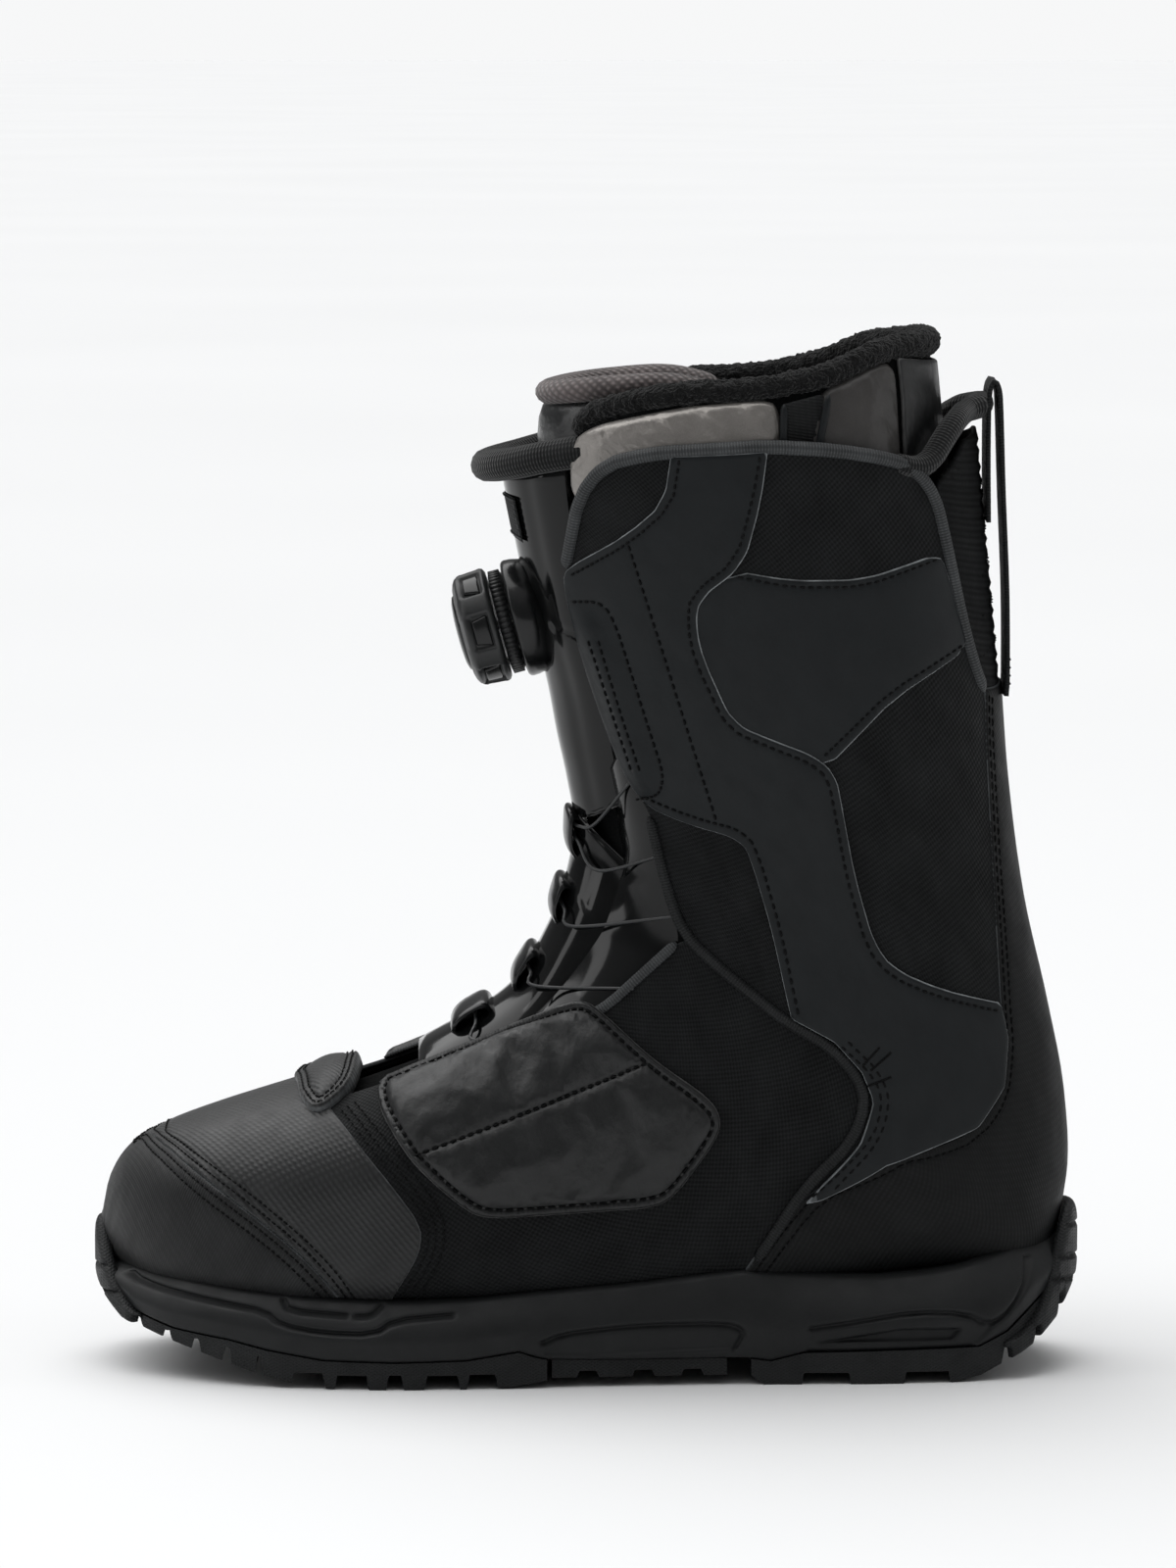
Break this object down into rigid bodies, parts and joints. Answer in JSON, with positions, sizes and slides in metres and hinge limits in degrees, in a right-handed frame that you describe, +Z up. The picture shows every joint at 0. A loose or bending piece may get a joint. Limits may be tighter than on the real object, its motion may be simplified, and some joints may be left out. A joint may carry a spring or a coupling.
{
  "type": "snowboard boot",
  "caption": "High-cut left snowboard boot with a moulded tongue that carries a lace dial, a removable padded liner, a rear pull loop and a lugged rubber sole.",
  "frame": {"origin": "on the ground under the middle of the sole", "axes": "+Z up, the toe towards -X, the outer (lateral) side of this left boot towards -Y"},
  "size_m": [0.3066, 0.1108, 0.3211],
  "materials": {
    "rubber": "moulded, fine texture",
    "midsole_foam": "matt moulded foam",
    "toe_fabric": "coated twill",
    "ballistic_fabric": "coarse coated weave",
    "synthetic_leather": "matt, smooth",
    "soft_leather": "smooth, lightly creased",
    "gloss_plastic": "high gloss",
    "matt_plastic": "matt moulded",
    "knit_padding": "ribbed knit",
    "fleece": "brushed fleece",
    "liner_foam": "satin cloth over foam",
    "liner_knit": "fine knit",
    "webbing": "woven webbing",
    "steel": "plain",
    "lace_cable": "coated steel cable",
    "board": "fibreboard"
  },
  "bodies": {
    "lower": {"midsole": "midsole_foam", "outsole_forefoot": "rubber", "outsole_heel": "rubber", "shank_pad": "rubber", "toe_cap": "toe_fabric", "vamp": "toe_fabric", "quarter_lateral": "ballistic_fabric", "quarter_medial": "ballistic_fabric", "heel_counter": "toe_fabric", "ankle_flex_panel": "ballistic_fabric", "ankle_overlay_lateral": "synthetic_leather", "ankle_overlay_medial": "synthetic_leather", "instep_cover_lateral": "soft_leather", "instep_cover_medial": "soft_leather", "tongue_base": "gloss_plastic", "tongue_flex": "gloss_plastic", "tongue_guide_2": "matt_plastic", "tongue_guide_3": "matt_plastic", "tongue_guide_4": "matt_plastic", "liner_foot": "liner_foam", "liner_ankle": "liner_foam", "lasting_board": "board", "footbed": "liner_foam", "cable_instep": "lace_cable", "cable_ankle": "lace_cable"},
    "cuff": {"cuff_lateral": "ballistic_fabric", "cuff_medial": "ballistic_fabric", "backstay": "toe_fabric", "rear_gusset": "knit_padding", "cuff_overlay_lateral": "synthetic_leather", "cuff_overlay_medial": "synthetic_leather", "rear_overlay_lateral": "synthetic_leather", "rear_overlay_medial": "synthetic_leather", "gusset_collar": "knit_padding", "pull_loop": "webbing", "tongue_ankle": "gloss_plastic", "tongue_guide_1": "matt_plastic", "cable_upper": "lace_cable", "liner_cuff": "liner_foam", "liner_collar": "fleece", "liner_strap": "webbing"},
    "tongue": {"tongue_shell": "gloss_plastic", "tongue_collar": "knit_padding", "tongue_label": "matt_plastic", "liner_tongue": "liner_knit", "dial_base": "matt_plastic", "dial_housing": "matt_plastic"},
    "dial_slide": {"dial_screw": "steel"},
    "dial_knob": {"dial_knob": "matt_plastic", "dial_cap": "gloss_plastic", "dial_pawl_disc": "gloss_plastic"},
    "dial_spool": {"dial_spool": "gloss_plastic"}
  },
  "joints": [
    {"name": "cuff_flex", "type": "hinge", "parent": "lower", "child": "cuff", "pos_m": [0.08, 0, 0.1], "axis": [0, -1, 0], "range_deg": [-4, 12], "stiffness_Nm_per_rad": 40, "deforming": ["ankle_flex_panel", "liner_ankle", "tongue_flex", "tongue_guide_2", "tongue_guide_3", "cable_ankle"]},
    {"name": "tongue_open", "type": "hinge", "parent": "cuff", "child": "tongue", "pos_m": [-0.0045, 0, 0.171], "axis": [0, -1, 0], "range_deg": [0, 18], "stiffness_Nm_per_rad": 2},
    {"name": "dial_pull", "type": "slide", "parent": "tongue", "child": "dial_slide", "axis": [-0.9659, 0, -0.2588], "range_m": [0, 0.0035]},
    {"name": "dial_turn", "type": "hinge", "parent": "dial_slide", "child": "dial_knob", "pos_m": [-0.02, 0, 0.232], "axis": [-0.9659, 0, -0.2588], "continuous": true},
    {"name": "spool_turn", "type": "hinge", "parent": "tongue", "child": "dial_spool", "pos_m": [-0.02, 0, 0.232], "axis": [-0.9659, 0, -0.2588], "continuous": true}
  ],
  "couplings": [
    {"joint": "spool_turn", "follows": "dial_turn", "ratio": 1}
  ]
}
